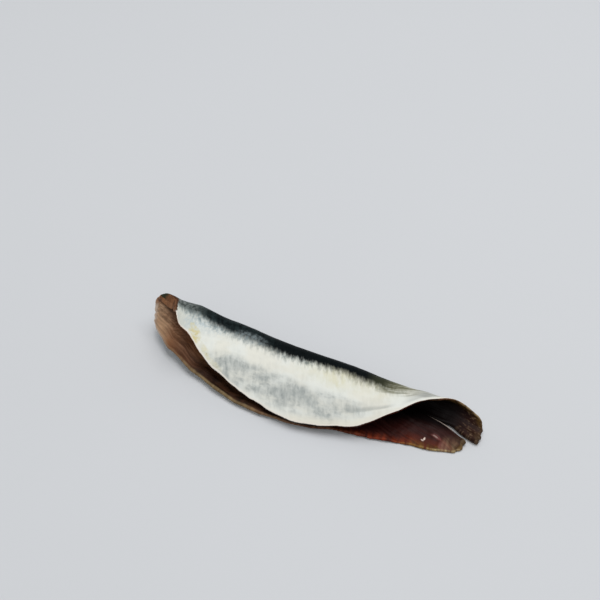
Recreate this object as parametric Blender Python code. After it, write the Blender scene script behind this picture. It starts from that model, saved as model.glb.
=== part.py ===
"""Smoked fish: a small oily fish without head or tail, opened along the belly and folded skin side out.

X runs from the head end at -X to the tail end at +X. The belly opens towards -Y, the fold of the back faces
+Y, and the lower fillet lies skin down on Z = 0. A station list holds pairs of (share of the length from the
head end, value). Lengths are in millimetres and angles in degrees until the body is scaled to metres.
"""

import math

import bmesh
import bpy
import numpy as np
from mathutils import Vector

MM = 0.001

LENGTH = 117.0
ALONG = 58
ACROSS = 15
RIM_STEPS = 2

# Width of each fillet, from the line of the back to the cut edge of the belly.
UPPER_WIDTH = [(0, 7.5), (0.05, 13.3), (0.1, 16.3), (0.16, 22), (0.22, 27), (0.3, 31.3), (0.36, 33),
               (0.5, 36), (0.6, 34.8), (0.7, 30.4), (0.8, 24), (0.85, 20), (0.88, 17.1), (0.9, 15.4),
               (0.92, 14.2), (0.94, 13.2), (0.98, 10.9), (1, 8.3)]
LOWER_WIDTH = [(0, 11.5), (0.02, 13.9), (0.05, 15.4), (0.1, 19.8), (0.22, 25.3), (0.33, 28), (0.45, 29),
               (0.56, 27.5), (0.67, 23.4), (0.76, 19.2), (0.82, 16.1), (0.85, 14.4), (0.88, 13.2), (0.92, 11.4),
               (0.96, 8.4), (0.985, 6.2), (1, 4.2)]

# Slope of each fillet away from the fold, 0 for level and above 0 for an edge that rises.
UPPER_SLOPE = [(0, 5), (0.15, -6), (0.35, -7), (0.55, -7), (0.7, -6), (0.8, 7.5), (0.88, 28), (0.94, 54.5),
               (1, 83)]
LOWER_SLOPE = [(0, -60), (0.1, -15), (0.22, 0), (0.5, 3), (1, 0)]
UPPER_DROOP = [(0, 0.3), (0.5, 0.5), (1, 0.5)]
LOWER_DROOP = [(0, 0.3), (0.5, 0), (1, 0.3)]

# The fold of the back: the width that bends, and where the middle of the bend lies above the back line.
FOLD_WIDTH = [(0, 13.3), (0.3, 21), (0.6, 19.7), (0.8, 18.8), (0.9, 17), (1, 13.8)]
FOLD_RISE = [(0, -0.5), (0.1, -0.2), (0.2, 1.7), (0.3, 3.4), (0.6, 3.5), (0.8, 5.4), (0.85, 7.1), (0.9, 7.3),
             (0.94, 7.8), (0.98, 8), (1, 7.6)]
BACK_LINE = [(0, 2.5), (0.05, 3.2), (0.12, 6.2), (0.2, 7.4), (0.3, 6.6), (0.5, 5.6), (0.62, 5.4), (0.75, 3),
             (0.82, 1.1), (0.85, 0.2), (0.88, -0.6), (0.92, -1.4), (0.94, -2.1), (0.96, -3.2), (0.98, -4.3),
             (1, -5.1)]
HEAD_LIFT = [(0, 3.7), (0.1, 3.5), (0.22, 1.5), (0.36, 0), (1, 0)]
SUNK = 0.3

# The slanting head cut, the tail lobes with their uneven tips and the slit between the lobes.
UPPER_SLANT = [(0, 10), (0.1, 3.3), (0.22, 1.1), (0.3, 0), (1, 0)]
LOWER_SLANT = [(0, -1.5), (0.1, -1), (0.3, 0), (1, 0)]
NAPE_STEP = 4.0
TIP_NICK = 0.3
UPPER_REACH = [(0, 0), (0.9, 0), (1, 2.8)]
LOWER_REACH = [(0, 0), (0.9, 0), (1, -1)]
SLIT_START = 0.855
UPPER_SLIT = [(0, 0), (SLIT_START, 0), (0.89, 0.7), (0.915, 1.3), (0.935, 1.8), (0.965, 1.2), (1, 0.7)]
LOWER_SLIT = [(0, 0), (SLIT_START, 0), (0.92, 0.4), (0.96, 0.5), (1, 0.5)]

# Thickness of the flesh along the fish, and its share from the back line to the belly edge.
FLESH = [(0, 3.6), (0.4, 3.8), (0.8, 2.9), (1, 2.1)]
FLESH_SHARE = [(0, 0.62), (0.15, 0.85), (0.3, 1), (0.55, 0.8), (0.8, 0.45), (1, 0.28)]
FOLD_THINNING = 0.35
RIM_ROUNDING = 0.9
SLIT_ROOM = 0.7

# Relief: a crease beside the upper belly edge, uneven cut edges and soft lumps on the flesh side.
CREASE_DEPTH = 0.35
CREASE_FROM_EDGE = 6.0
EDGE_WAVE = 0.2
LUMPS = 0.14


def smooth(stations, at):
    """A curve through the stations with no overshoot between them."""
    x = np.array([s[0] for s in stations], dtype=float)
    y = np.array([s[1] for s in stations], dtype=float)
    step = np.diff(x)
    rate = np.diff(y) / step
    slope = np.zeros(len(x))
    slope[0] = rate[0]
    slope[-1] = rate[-1]
    for i in range(1, len(x) - 1):
        before, after = rate[i - 1], rate[i]
        if before * after > 0:
            a = 2 * step[i] + step[i - 1]
            b = step[i] + 2 * step[i - 1]
            slope[i] = (a + b) / (a / before + b / after)
    i = int(np.clip(np.searchsorted(x, at, side="right") - 1, 0, len(x) - 2))
    t = min(max((at - x[i]) / step[i], 0.0), 1.0)
    return float(
        (2 * t**3 - 3 * t**2 + 1) * y[i]
        + (t**3 - 2 * t**2 + t) * step[i] * slope[i]
        + (3 * t**2 - 2 * t**3) * y[i + 1]
        + (t**3 - t**2) * step[i] * slope[i + 1]
    )


def ramp(t):
    t = np.clip(t, 0.0, 1.0)
    return t * t * (3 - 2 * t)


class Section:
    """The skin side across the fish at one share of its length, measured in w from the back line.

    w is above 0 on the upper fillet and below 0 on the lower one.
    """

    def __init__(self, u):
        self.u = u
        self.upper = smooth(UPPER_WIDTH, u) + EDGE_WAVE * (math.sin(38 * u) + 0.5 * math.sin(83 * u + 1))
        self.lower = smooth(LOWER_WIDTH, u) + EDGE_WAVE * (math.sin(33 * u + 2) + 0.5 * math.sin(77 * u))
        self.fold = smooth(FOLD_WIDTH, u)
        self.rise = smooth(FOLD_RISE, u)
        self.flesh = smooth(FLESH, u)
        self.w = np.linspace(-self.lower - 1, self.upper + 1, 400)
        half = self.fold / 2
        lower_way = 180 + smooth(LOWER_SLOPE, u)
        upper_way = smooth(UPPER_SLOPE, u)
        way = lower_way + (upper_way - lower_way) * ramp((self.w - self.rise) / self.fold + 0.5)
        way -= smooth(UPPER_DROOP, u) * np.maximum(self.w - self.rise - half, 0)
        way += smooth(LOWER_DROOP, u) * np.maximum(self.rise - half - self.w, 0)
        self.dy = -np.cos(np.radians(way))
        self.dz = np.sin(np.radians(way))
        gap = np.diff(self.w)
        self.y = np.concatenate([[0], np.cumsum((self.dy[1:] + self.dy[:-1]) / 2 * gap)])
        self.z = np.concatenate([[0], np.cumsum((self.dz[1:] + self.dz[:-1]) / 2 * gap)])
        self.y += smooth(BACK_LINE, u) - np.interp(0, self.w, self.y)
        self.z += smooth(HEAD_LIFT, u) - SUNK - self.z.min()

    def along(self, w):
        """Position along the fish, with the slant of the head cut and the reach of the tail lobe."""
        slant, reach = (UPPER_SLANT, UPPER_REACH) if w > 0 else (LOWER_SLANT, LOWER_REACH)
        step = 0.5 * float(ramp(abs(w) / NAPE_STEP)) + 0.05 * abs(w)
        nick = TIP_NICK * math.sin(abs(w) * 2 + 1) * float(ramp((self.u - 0.93) / 0.07))
        return LENGTH * (self.u - 0.5) + smooth(slant, self.u) * step + smooth(reach, self.u) + nick

    def crease(self, w):
        """Depth of the soft crease in the skin beside the upper belly edge."""
        part = float(ramp((self.u - 0.5) / 0.1) * ramp((0.84 - self.u) / 0.1))
        return CREASE_DEPTH * part * math.exp(-(((self.upper - w - CREASE_FROM_EDGE) / 1.8) ** 2))

    def skin(self, w):
        y = float(np.interp(w, self.w, self.y))
        z = float(np.interp(w, self.w, self.z))
        place = np.array([self.along(w), y, z]) + self.inward(w) * self.crease(w)
        place[2] = max(place[2], 0.0)
        return place

    def inward(self, w):
        """Direction from the skin to the flesh side."""
        dy = float(np.interp(w, self.w, self.dy))
        dz = float(np.interp(w, self.w, self.dz))
        return np.array([0.0, -dz, dy]) / math.hypot(dy, dz)

    def thickness(self, w):
        share = abs(w) / (self.upper if w > 0 else self.lower)
        bend = float(ramp(1 - abs(w - self.rise) / (self.fold / 2)))
        lumps = math.sin(1.1 * w + 2 * math.sin(9 * self.u)) + math.sin(52 * self.u + 0.45 * w)
        return self.flesh * smooth(FLESH_SHARE, share) * (1 - FOLD_THINNING * bend) + LUMPS * lumps * (1 - bend)


def clear_scene():
    for item in list(bpy.data.objects):
        bpy.data.objects.remove(item, do_unlink=True)


def flat_sheet(bm):
    """A flat grid whose X is the share of the length and whose Y is -1 and 1 at the two belly edges."""
    bmesh.ops.create_grid(bm, x_segments=ALONG, y_segments=2 * ACROSS, size=1.0)
    for vert in bm.verts:
        even = (vert.co.x + 1) / 2
        vert.co.x = 0.5 * even + 0.5 * (0.5 - 0.5 * math.cos(math.pi * even))


def cut_slit(bm):
    """Parts the sheet along the back line behind the start of the slit."""
    start = min((v.co.x for v in bm.verts), key=lambda x: abs(x - SLIT_START))
    on_line = [v for v in bm.verts if abs(v.co.y) < 1e-6 and v.co.x > start - 1e-6]
    edges = [e for e in bm.edges if e.verts[0] in on_line and e.verts[1] in on_line]
    bmesh.ops.split_edges(bm, edges=edges)


def width_at(vert, section):
    """Distance from the back line for a corner of the flat sheet."""
    v = vert.co.y
    if abs(v) < 1e-6:
        sides = [f.calc_center_median().y for f in vert.link_faces]
        side = 1 if min(sides) > 0 else -1 if max(sides) < 0 else 0
    else:
        side = 1 if v > 0 else -1
    if side == 0:
        return 0.0
    outer = section.upper if side > 0 else section.lower
    inner = smooth(UPPER_SLIT if side > 0 else LOWER_SLIT, section.u)
    return side * (inner + (outer - inner) * abs(v))


def bend_sheet(bm):
    """Moves the sheet to the skin side. Returns each corner's place on the flesh side and room for its rim."""
    number = bm.verts.layers.int.new("number")
    sections = {}
    skin, flesh, room = {}, {}, {}
    bm.verts.index_update()
    for vert in bm.verts:
        vert[number] = vert.index
        u = round(vert.co.x, 6)
        section = sections.setdefault(u, Section(u))
        w = width_at(vert, section)
        skin[vert.index] = Vector(section.skin(w))
        flesh[vert.index] = Vector(section.skin(w) + section.inward(w) * section.thickness(w))
        room[vert.index] = SLIT_ROOM * abs(w) if abs(vert.co.y) < 1e-6 else math.inf
    for vert in bm.verts:
        vert.co = skin[vert[number]]
    return flesh, room


def rim_directions(rim, number):
    """Direction out of the sheet, in its own surface, at each corner of its rim."""
    out = {}
    for edge in rim:
        face = edge.link_faces[0]
        a, b = edge.verts
        side = (b.co - a.co).cross(face.normal).normalized()
        if side.dot(face.calc_center_median() - a.co) > 0:
            side = -side
        for vert in edge.verts:
            out[vert[number]] = out.get(vert[number], Vector()) + side
    return {key: side.normalized() for key, side in out.items()}


def thicken(bm, flesh, room):
    """Adds the flesh side, and a rounded rim from the skin side to it."""
    number = bm.verts.layers.int["number"]
    bm.normal_update()
    ring = [e for e in bm.edges if len(e.link_faces) == 1]
    outward = rim_directions(ring, number)
    start = {v[number]: v.co.copy() for e in ring for v in e.verts}
    inside = bmesh.ops.duplicate(bm, geom=list(bm.faces))["geom"]
    inner = {v[number]: v for v in inside if isinstance(v, bmesh.types.BMVert)}
    for key, vert in inner.items():
        vert.co = flesh[key]
    for step in range(1, RIM_STEPS + 2):
        grown = bmesh.ops.extrude_edge_only(bm, edges=ring)["geom"]
        ring = [item for item in grown if isinstance(item, bmesh.types.BMEdge)]
        corners = {item for item in grown if isinstance(item, bmesh.types.BMVert)}
        turn = math.pi * step / (RIM_STEPS + 1)
        for vert in corners:
            key = vert[number]
            across = flesh[key] - start[key]
            bulge = min(RIM_ROUNDING * across.length / 2, room[key]) * math.sin(turn)
            vert.co = start[key] + across * (1 - math.cos(turn)) / 2 + outward[key] * bulge
    bmesh.ops.weld_verts(bm, targetmap={vert: inner[vert[number]] for vert in corners})


def put_on_origin(bm):
    """Scales to metres, with the origin in the middle of the underside's box."""
    for vert in bm.verts:
        vert.co.z = max(vert.co.z, 0.0)
    low = [min(v.co[i] for v in bm.verts) for i in range(3)]
    high = [max(v.co[i] for v in bm.verts) for i in range(3)]
    for vert in bm.verts:
        vert.co.x = (vert.co.x - (low[0] + high[0]) / 2) * MM
        vert.co.y = (vert.co.y - (low[1] + high[1]) / 2) * MM
        vert.co.z = (vert.co.z - low[2]) * MM


def skin_material():
    material = bpy.data.materials.new("fish_skin")
    material.use_nodes = True
    shader = material.node_tree.nodes["Principled BSDF"]
    shader.inputs["Base Color"].default_value = (0.55, 0.56, 0.53, 1)
    shader.inputs["Roughness"].default_value = 0.4
    return material


def smoked_fish():
    bm = bmesh.new()
    flat_sheet(bm)
    cut_slit(bm)
    flesh, room = bend_sheet(bm)
    thicken(bm, flesh, room)
    bmesh.ops.recalc_face_normals(bm, faces=bm.faces)
    put_on_origin(bm)
    mesh = bpy.data.meshes.new("smoked_fish")
    bm.to_mesh(mesh)
    bm.free()
    mesh.shade_smooth()
    body = bpy.data.objects.new("smoked_fish", mesh)
    body.data.materials.append(skin_material())
    bpy.context.scene.collection.objects.link(body)
    return body


clear_scene()
smoked_fish()
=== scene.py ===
import math
from functools import cached_property

import bmesh
import bpy
import numpy as np
from bpy.props import FloatProperty, FloatVectorProperty, IntProperty, PointerProperty
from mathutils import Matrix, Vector, noise


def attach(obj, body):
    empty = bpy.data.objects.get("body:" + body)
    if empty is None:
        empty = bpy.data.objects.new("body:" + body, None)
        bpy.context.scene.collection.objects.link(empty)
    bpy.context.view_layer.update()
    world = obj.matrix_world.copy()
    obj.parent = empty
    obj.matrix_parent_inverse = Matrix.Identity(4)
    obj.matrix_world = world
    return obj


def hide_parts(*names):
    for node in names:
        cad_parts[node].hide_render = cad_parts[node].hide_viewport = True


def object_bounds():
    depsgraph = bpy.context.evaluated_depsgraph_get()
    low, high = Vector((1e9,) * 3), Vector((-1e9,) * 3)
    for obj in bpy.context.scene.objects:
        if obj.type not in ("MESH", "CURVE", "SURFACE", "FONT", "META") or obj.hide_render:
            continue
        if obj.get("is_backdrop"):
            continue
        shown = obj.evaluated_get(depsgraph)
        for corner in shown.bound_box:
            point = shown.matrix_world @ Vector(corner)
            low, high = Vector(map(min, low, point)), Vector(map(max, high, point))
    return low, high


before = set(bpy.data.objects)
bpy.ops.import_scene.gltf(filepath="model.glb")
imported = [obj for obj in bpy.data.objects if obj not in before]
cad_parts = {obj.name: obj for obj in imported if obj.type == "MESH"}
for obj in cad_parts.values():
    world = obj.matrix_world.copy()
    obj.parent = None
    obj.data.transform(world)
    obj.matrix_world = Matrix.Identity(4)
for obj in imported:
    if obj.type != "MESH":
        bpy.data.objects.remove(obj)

bl_info = {
    "name": "Smoked fish",
    "version": (1, 0, 0),
    "blender": (4, 5, 0),
    "location": "3D View > Sidebar > Smoked fish",
    "description": "A small oily fish, opened along the belly, folded along its back and smoked",
    "category": "Mesh",
}

# X runs from the head end at -X to the tail end at +X, and the belly opens towards -Y. Lengths in the
# functions and in the body's attributes are in millimetres, and angles are in degrees. A station list holds
# pairs of (share of the length from the head end, value).
CAD_LOW, CAD_HIGH = (tuple(corner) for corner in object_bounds())
MM = 0.001
RAW_CENTRE = (0.76, -7.733)

LENGTH = 117.0
RIM_STEPS = 7

# Width of each fillet, from the line of the back to the cut edge of the belly.
UPPER_WIDTH = [(0, 7.5), (0.05, 13.3), (0.1, 16.3), (0.16, 22), (0.22, 27), (0.3, 31.3), (0.36, 33),
               (0.5, 36), (0.6, 34.8), (0.7, 30.4), (0.8, 24), (0.85, 20), (0.88, 17.1), (0.9, 15.4),
               (0.92, 14.2), (0.94, 13.2), (0.98, 10.9), (1, 8.3)]
LOWER_WIDTH = [(0, 11.5), (0.02, 13.9), (0.05, 15.4), (0.1, 19.8), (0.22, 25.3), (0.33, 28), (0.45, 29),
               (0.56, 27.5), (0.67, 23.4), (0.76, 19.2), (0.82, 16.1), (0.85, 14.4), (0.88, 13.2),
               (0.92, 11.4), (0.96, 8.4), (0.985, 6.2), (1, 4.2)]

# Slope of each fillet away from the fold, 0 for level and above 0 for an edge that rises.
UPPER_SLOPE = [(0, 5), (0.15, -6), (0.35, -7), (0.55, -7), (0.7, -6), (0.8, 7.5), (0.88, 28), (0.94, 54.5),
               (1, 83)]
LOWER_SLOPE = [(0, -60), (0.1, -15), (0.22, 0), (0.5, 3), (1, 0)]
UPPER_DROOP = [(0, 0.3), (0.5, 0.5), (1, 0.5)]
LOWER_DROOP = [(0, 0.3), (0.5, 0), (1, 0.3)]

# The fold of the back: the width that bends, and where the middle of the bend lies above the back line.
FOLD_WIDTH = [(0, 13.3), (0.3, 21), (0.6, 19.7), (0.8, 18.8), (0.9, 17), (1, 13.8)]
FOLD_RISE = [(0, -0.5), (0.1, -0.2), (0.2, 1.7), (0.3, 3.4), (0.6, 3.5), (0.8, 5.4), (0.85, 7.1), (0.9, 7.3),
             (0.94, 7.8), (0.98, 8), (1, 7.6)]
BACK_LINE = [(0, 2.5), (0.05, 3.2), (0.12, 6.2), (0.2, 7.4), (0.3, 6.6), (0.5, 5.6), (0.62, 5.4), (0.75, 3),
             (0.82, 1.1), (0.85, 0.2), (0.88, -0.6), (0.92, -1.4), (0.94, -2.1), (0.96, -3.2), (0.98, -4.3),
             (1, -5.1)]
HEAD_LIFT = [(0, 3.7), (0.1, 3.5), (0.22, 1.5), (0.36, 0), (1, 0)]
SUNK = 0.3

# The slanting head cut, the tail lobes with their uneven tips and the slit between the lobes.
UPPER_SLANT = [(0, 10), (0.1, 3.3), (0.22, 1.1), (0.3, 0), (1, 0)]
LOWER_SLANT = [(0, -1.5), (0.1, -1), (0.3, 0), (1, 0)]
NAPE_STEP = 4.0
TIP_NICK = 0.3
UPPER_REACH = [(0, 0), (0.9, 0), (1, 2.8)]
LOWER_REACH = [(0, 0), (0.9, 0), (1, -1)]
SLIT_START = 0.855
UPPER_SLIT = [(0, 0), (SLIT_START, 0), (0.89, 0.7), (0.915, 1.3), (0.935, 1.8), (0.965, 1.2), (1, 0.7)]
LOWER_SLIT = [(0, 0), (SLIT_START, 0), (0.92, 0.4), (0.96, 0.5), (1, 0.5)]

# Thickness of the flesh along the fish, and its share from the back line to the belly edge.
FLESH = [(0, 3.6), (0.4, 3.8), (0.8, 2.9), (1, 2.1)]
FLESH_SHARE = [(0, 0.62), (0.15, 0.85), (0.3, 1), (0.55, 0.8), (0.8, 0.45), (1, 0.28)]
FOLD_THINNING = 0.35
RIM_ROUNDING = 0.9
SLIT_ROOM = 0.7

# Relief: a crease beside the upper belly edge, uneven cut edges, soft lumps on the flesh side, and a narrow
# bowed groove with a lip near the belly edge short of the tail.
CREASE_DEPTH = 0.35
CREASE_FROM_EDGE = 6.0
CREASE_WIDTH = 1.8
EDGE_WAVE = 0.2
LUMPS = 0.14
GROOVE_DEPTH = 0.3
GROOVE_WIDTH = 0.8
GROOVE_LIP = 0.2
LIP_WIDTH = 1.0
LIP_FROM_GROOVE = 1.8
GROOVE_FROM_EDGE = 6.4
GROOVE_TOP = 82.0
GROOVE_BOW = 0.028

# How far the dark back reaches from the back line, up to BAND_MOST, and the lean of its brushed strokes.
BAND_MOST = 20.0
BAND_BORDER = [(0, 6), (0.06, 6.8), (0.1, 7.8), (0.14, 9.1), (0.18, 10.7), (0.22, 12.1), (0.26, 13.2),
               (0.36, 13.7), (0.46, 13.7), (0.52, 12.8), (0.6, 12.3), (0.7, 12.8), (0.77, 13.4), (1, 12)]
BRUSH_LEAN = -0.4

# Marks as (along, across, half length, half width, strength, seed). Across is measured from the back line,
# but from the belly edge for the stains.
STAINS = [(15.3, 2.2, 3.6, 3.2, 0.9, 21), (21, 1.4, 3.4, 2.0, 0.4, 22), (27, 1.0, 6, 1.4, 0.3, 23)]
WORN = [(33, 25.5, 9, 3.2, 0.85, 24), (60, 26.5, 11, 4.5, 0.75, 25)]
WARM = [(69.5, 16, 6.5, 5, 0.6, 11)]
BLUE = [(35, 12.8, 8, 3.2, 0.75, 12)]
NAPE_SPOT = [(0.4, 0.6, 2, 1.3, 1.0, 17)]
# The flecks are partly flecks of fat and partly painted glints; the blushes partly pink flesh, partly painted
# highlights.
FLECKS_AND_GLINTS = [(104.1, -9.5, 0.35, 0.8, 1.0, 31), (103.7, -10.4, 0.6, 0.35, 0.9, 32),
          (107.3, -7.0, 1.3, 0.25, 0.25, 33)]
BLUSHES_AND_HIGHLIGHTS = [(107.6, -6.9, 2.2, 0.8, 0.6, 18), (112.0, -8.4, 3.2, 2.2, 0.55, 19)]

# Zones of the colours along the fish, as (start, full, where it starts to fade, end).
ZONES = {
    "belly": (14, 27, 74, 88),
    "cream": (50, 64, 86, 96),
    "haze": (6, 12, 24, 34),
    "groove": (74, 80, 89, 93),
    "hem": (54, 64, 84, 92),
    "teeth": (44, 54, 58, 70),
    "strands": (82, 88, 95, 102),
    "wine": (10, 20, 26, 42),
    "by the skin": (3, 6, 11, 20),
    "lit": (12, 20, 44, 60),
    "fold": (34, 58, 108, 116),
    "upper lobe": (60, 70, 108, 118),
    "red": (90, 100, 113, 116.5),
    "sandy": (109, 112, 114.5, 116.5),
    "wide rim": (12, 20, 44, 58),
    "slit": (101, 106, 109, 113),
}

# Where the grey of the tail and the olive of the back's border start and are full, along the fish, and the
# grey of the belly, from the back line.
TAIL_START = (93, 100.5)
OLIVE_START = (54, 70)
BELLY_START = (20, 25)

# Unevenness of the roughness.
SKIN_GRAIN = 0.14
FLESH_GRAIN = 0.16

# The stage, in metres.
FLOOR_HALF = 2.0
FLOOR_GAP = 0.00005
SKY = (0.97, 0.985, 1.0, 1.0)
LAMP_PLACE = (0.14, 0.2, 1.2)
LAMP_SIZE = (1.2, 1.0)


def paint(name, description, *screen):
    """A colour setting, from 0 to 255 on a screen to the linear values that shaders take."""
    share = [value / 255 for value in screen]
    linear = tuple(v / 12.92 if v <= 0.04045 else ((v + 0.055) / 1.055) ** 2.4 for v in share)
    return FloatVectorProperty(name=name, description=description, subtype="COLOR", default=linear)


def relief(name, description, height):
    """A height setting in metres, from millimetres."""
    return FloatProperty(name=name, description=description, default=height * MM, unit="LENGTH")


def turn(name, description, degrees):
    """An angle setting, from degrees."""
    return FloatProperty(name=name, description=description, default=math.radians(degrees), subtype="ANGLE")


class FishForm(bpy.types.PropertyGroup):
    columns: IntProperty(name="Columns", description="Faces along the fish", default=280, min=40)
    rows: IntProperty(name="Rows", description="Faces across each fillet", default=62, min=12)
    edge_nick: relief("Edge nick", "Depth of the small nicks in the cut edges", 0.16)
    dent: relief("Dent", "Height of the broad dents in the skin", 0.2)
    wrinkle: relief("Wrinkle", "Height of the wrinkles along the skin", 0.08)
    fibre: relief("Fibre", "Height of the fibres of the flesh", 0.16)


class SkinLook(bpy.types.PropertyGroup):
    silver: paint("Silver", "Side of the fish", 232, 234, 227)
    cool_silver: paint("Cool silver", "Side near the head and the belly", 188, 192, 188)
    head_silver: paint("Head silver", "Side right behind the head cut", 205, 213, 209)
    tail_silver: paint("Tail silver", "Side by the tail", 163, 165, 160)
    warm_silver: paint("Warm silver", "Creamy patches of the side", 231, 226, 210)
    cream: paint("Cream", "Streaks with a warm tint", 222, 218, 186)
    # Also painted shade along the groove near the upper belly edge.
    scale_grey_and_shade: paint("Scale grey", "Marks where scales were rubbed", 138, 145, 144)
    haze: paint("Haze", "Mottling of the side behind the head cut", 176, 191, 197)
    blue_grey: paint("Blue grey", "Patches under the back's border", 138, 149, 152)
    back: paint("Back", "Blue-black of the back", 3, 8, 10)
    olive_back: paint("Olive back", "Dark back towards the tail", 48, 50, 36)
    nape: paint("Nape", "Back behind the head cut", 58, 64, 62)
    # Also the painted sheen on the dark back.
    back_edge_and_sheen: paint("Back edge", "Blue-grey where the back meets the side", 72, 90, 92)
    olive: paint("Olive", "Olive of the back towards the tail", 103, 102, 74)
    yellow: paint("Yellow", "Smoke-yellow stains by the head cut", 214, 202, 148)
    stain_dot: paint("Stain dot", "Small dark dots in the stains", 146, 132, 98)
    cut_flesh: paint("Cut flesh", "Flesh bared at the nape", 150, 104, 72)
    # Also painted shade: the dark line where the bared nape meets the silver.
    singed_and_shade: paint("Singed", "Dark hollows of the nape's cut", 78, 49, 32)
    rim: paint("Rim", "Cut edge of the skin", 238, 231, 220)
    roughness: FloatProperty(
        name="Roughness", description="Roughness of the skin", default=0.45, subtype="FACTOR")


class FleshLook(bpy.types.PropertyGroup):
    tan: paint("Tan", "Flesh at the head cut", 210, 174, 140)
    toasted: paint("Toasted", "Flesh just behind the head cut", 178, 142, 110)
    chestnut: paint("Chestnut", "Orange-brown flesh near the head", 144, 98, 66)
    umber: paint("Umber", "Flesh where it starts to darken", 110, 72, 50)
    strand: paint("Strand", "Pale fibres near the head", 176, 140, 112)
    brown: paint("Brown", "Flesh along the belly", 38, 22, 12)
    maroon: paint("Maroon", "Flesh of the tail lobes", 52, 20, 17)
    wine: paint("Wine", "Dark red blotches near the head", 52, 22, 18)
    russet: paint("Russet", "Flesh towards the tail's tips", 50, 23, 19)
    tip: paint("Tip", "Flesh at the tips of the tail", 52, 31, 17)
    amber: paint("Amber", "Thin flesh by the tail's belly edge", 132, 54, 28)
    # Painted shade: this near-black stands for the shadow deep in the fold and on the upper tail lobe's flesh
    # side.
    dark: paint("Dark", "Dark flesh deep in the fold", 14, 7, 7)
    cut_flesh: paint("Cut flesh", "Flesh at the nape's cut", 150, 104, 72)
    # Also painted shade: a shadow band along the skin edge near the head.
    singed_and_shade: paint("Singed", "Dark hollows of the nape's cut", 78, 49, 32)
    pale_rim: paint("Pale rim", "Cut edge by the head", 222, 200, 180)
    sand_rim: paint("Sand rim", "Cut edge behind the head", 142, 110, 82)
    olive_rim: paint("Olive rim", "Thin, see-through belly edge", 144, 122, 88)
    brown_rim: paint("Brown rim", "Cut edge in the middle of the belly", 140, 110, 82)
    moss: paint("Moss", "Olive edge of the lower tail lobe", 96, 70, 28)
    # Partly painted highlight: one blush stands for a pink highlight on the wet flesh.
    blush_and_highlight: paint("Blush", "Pink flesh of the lower tail lobe", 158, 96, 92)
    crust: paint("Crust", "Pale specks at the upper tail lobe's tip", 132, 108, 84)
    gold_rim: paint("Gold rim", "Cut edge of the tail", 142, 108, 56)
    cream_rim: paint("Cream rim", "Cut edge near the tail's tip", 186, 168, 122)
    # Partly painted glints: the flecks stand in part for specular glints on the wet flesh.
    fleck_and_glint: paint("Fleck", "Flecks of fat on the tail", 225, 205, 192)
    roughness: FloatProperty(
        name="Roughness", description="Roughness of the flesh", default=0.48, subtype="FACTOR")


class StageLook(bpy.types.PropertyGroup):
    floor: paint("Floor", "Colour of the floor", 211, 213, 216)
    fill: FloatProperty(name="Fill", description="Strength of the even light all round", default=0.42)
    lamp: FloatProperty(
        name="Lamp", description="Power of the wide lamp overhead", default=10.9, unit="POWER")
    place: FloatVectorProperty(
        name="Camera place", description="Where the camera stands", subtype="TRANSLATION",
        default=(0.1401, -0.3022, 0.3445))
    azimuth: turn("Azimuth", "Way the camera looks, round Z", 25.06)
    elevation: turn("Elevation", "Angle the camera looks down at", 42.13)
    field: turn("Field of view", "Angle of the view", 24.0)


def smooth(stations, at):
    """A curve through the stations with no overshoot between them."""
    x, y = np.array(stations, dtype=float).T
    step = np.diff(x)
    rate = np.diff(y) / step
    slope = np.zeros(len(x))
    slope[0], slope[-1] = rate[0], rate[-1]
    for i in range(1, len(x) - 1):
        before, after = rate[i - 1], rate[i]
        if before * after > 0:
            a = 2 * step[i] + step[i - 1]
            b = step[i] + 2 * step[i - 1]
            slope[i] = (a + b) / (a / before + b / after)
    i = int(np.clip(np.searchsorted(x, at, side="right") - 1, 0, len(x) - 2))
    t = min(max((at - x[i]) / step[i], 0.0), 1.0)
    return float(
        (2 * t**3 - 3 * t**2 + 1) * y[i]
        + (t**3 - 2 * t**2 + t) * step[i] * slope[i]
        + (3 * t**2 - 2 * t**3) * y[i + 1]
        + (t**3 - t**2) * step[i] * slope[i + 1]
    )


def ramp(t):
    t = np.clip(t, 0.0, 1.0)
    return t * t * (3 - 2 * t)


def rise(value, start, end):
    """0 at start, 1 at end, with soft ends."""
    return float(ramp((value - start) / (end - start)))


def wavy(*place):
    """Smooth noise from -1 to 1."""
    return noise.noise(Vector(place))


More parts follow.
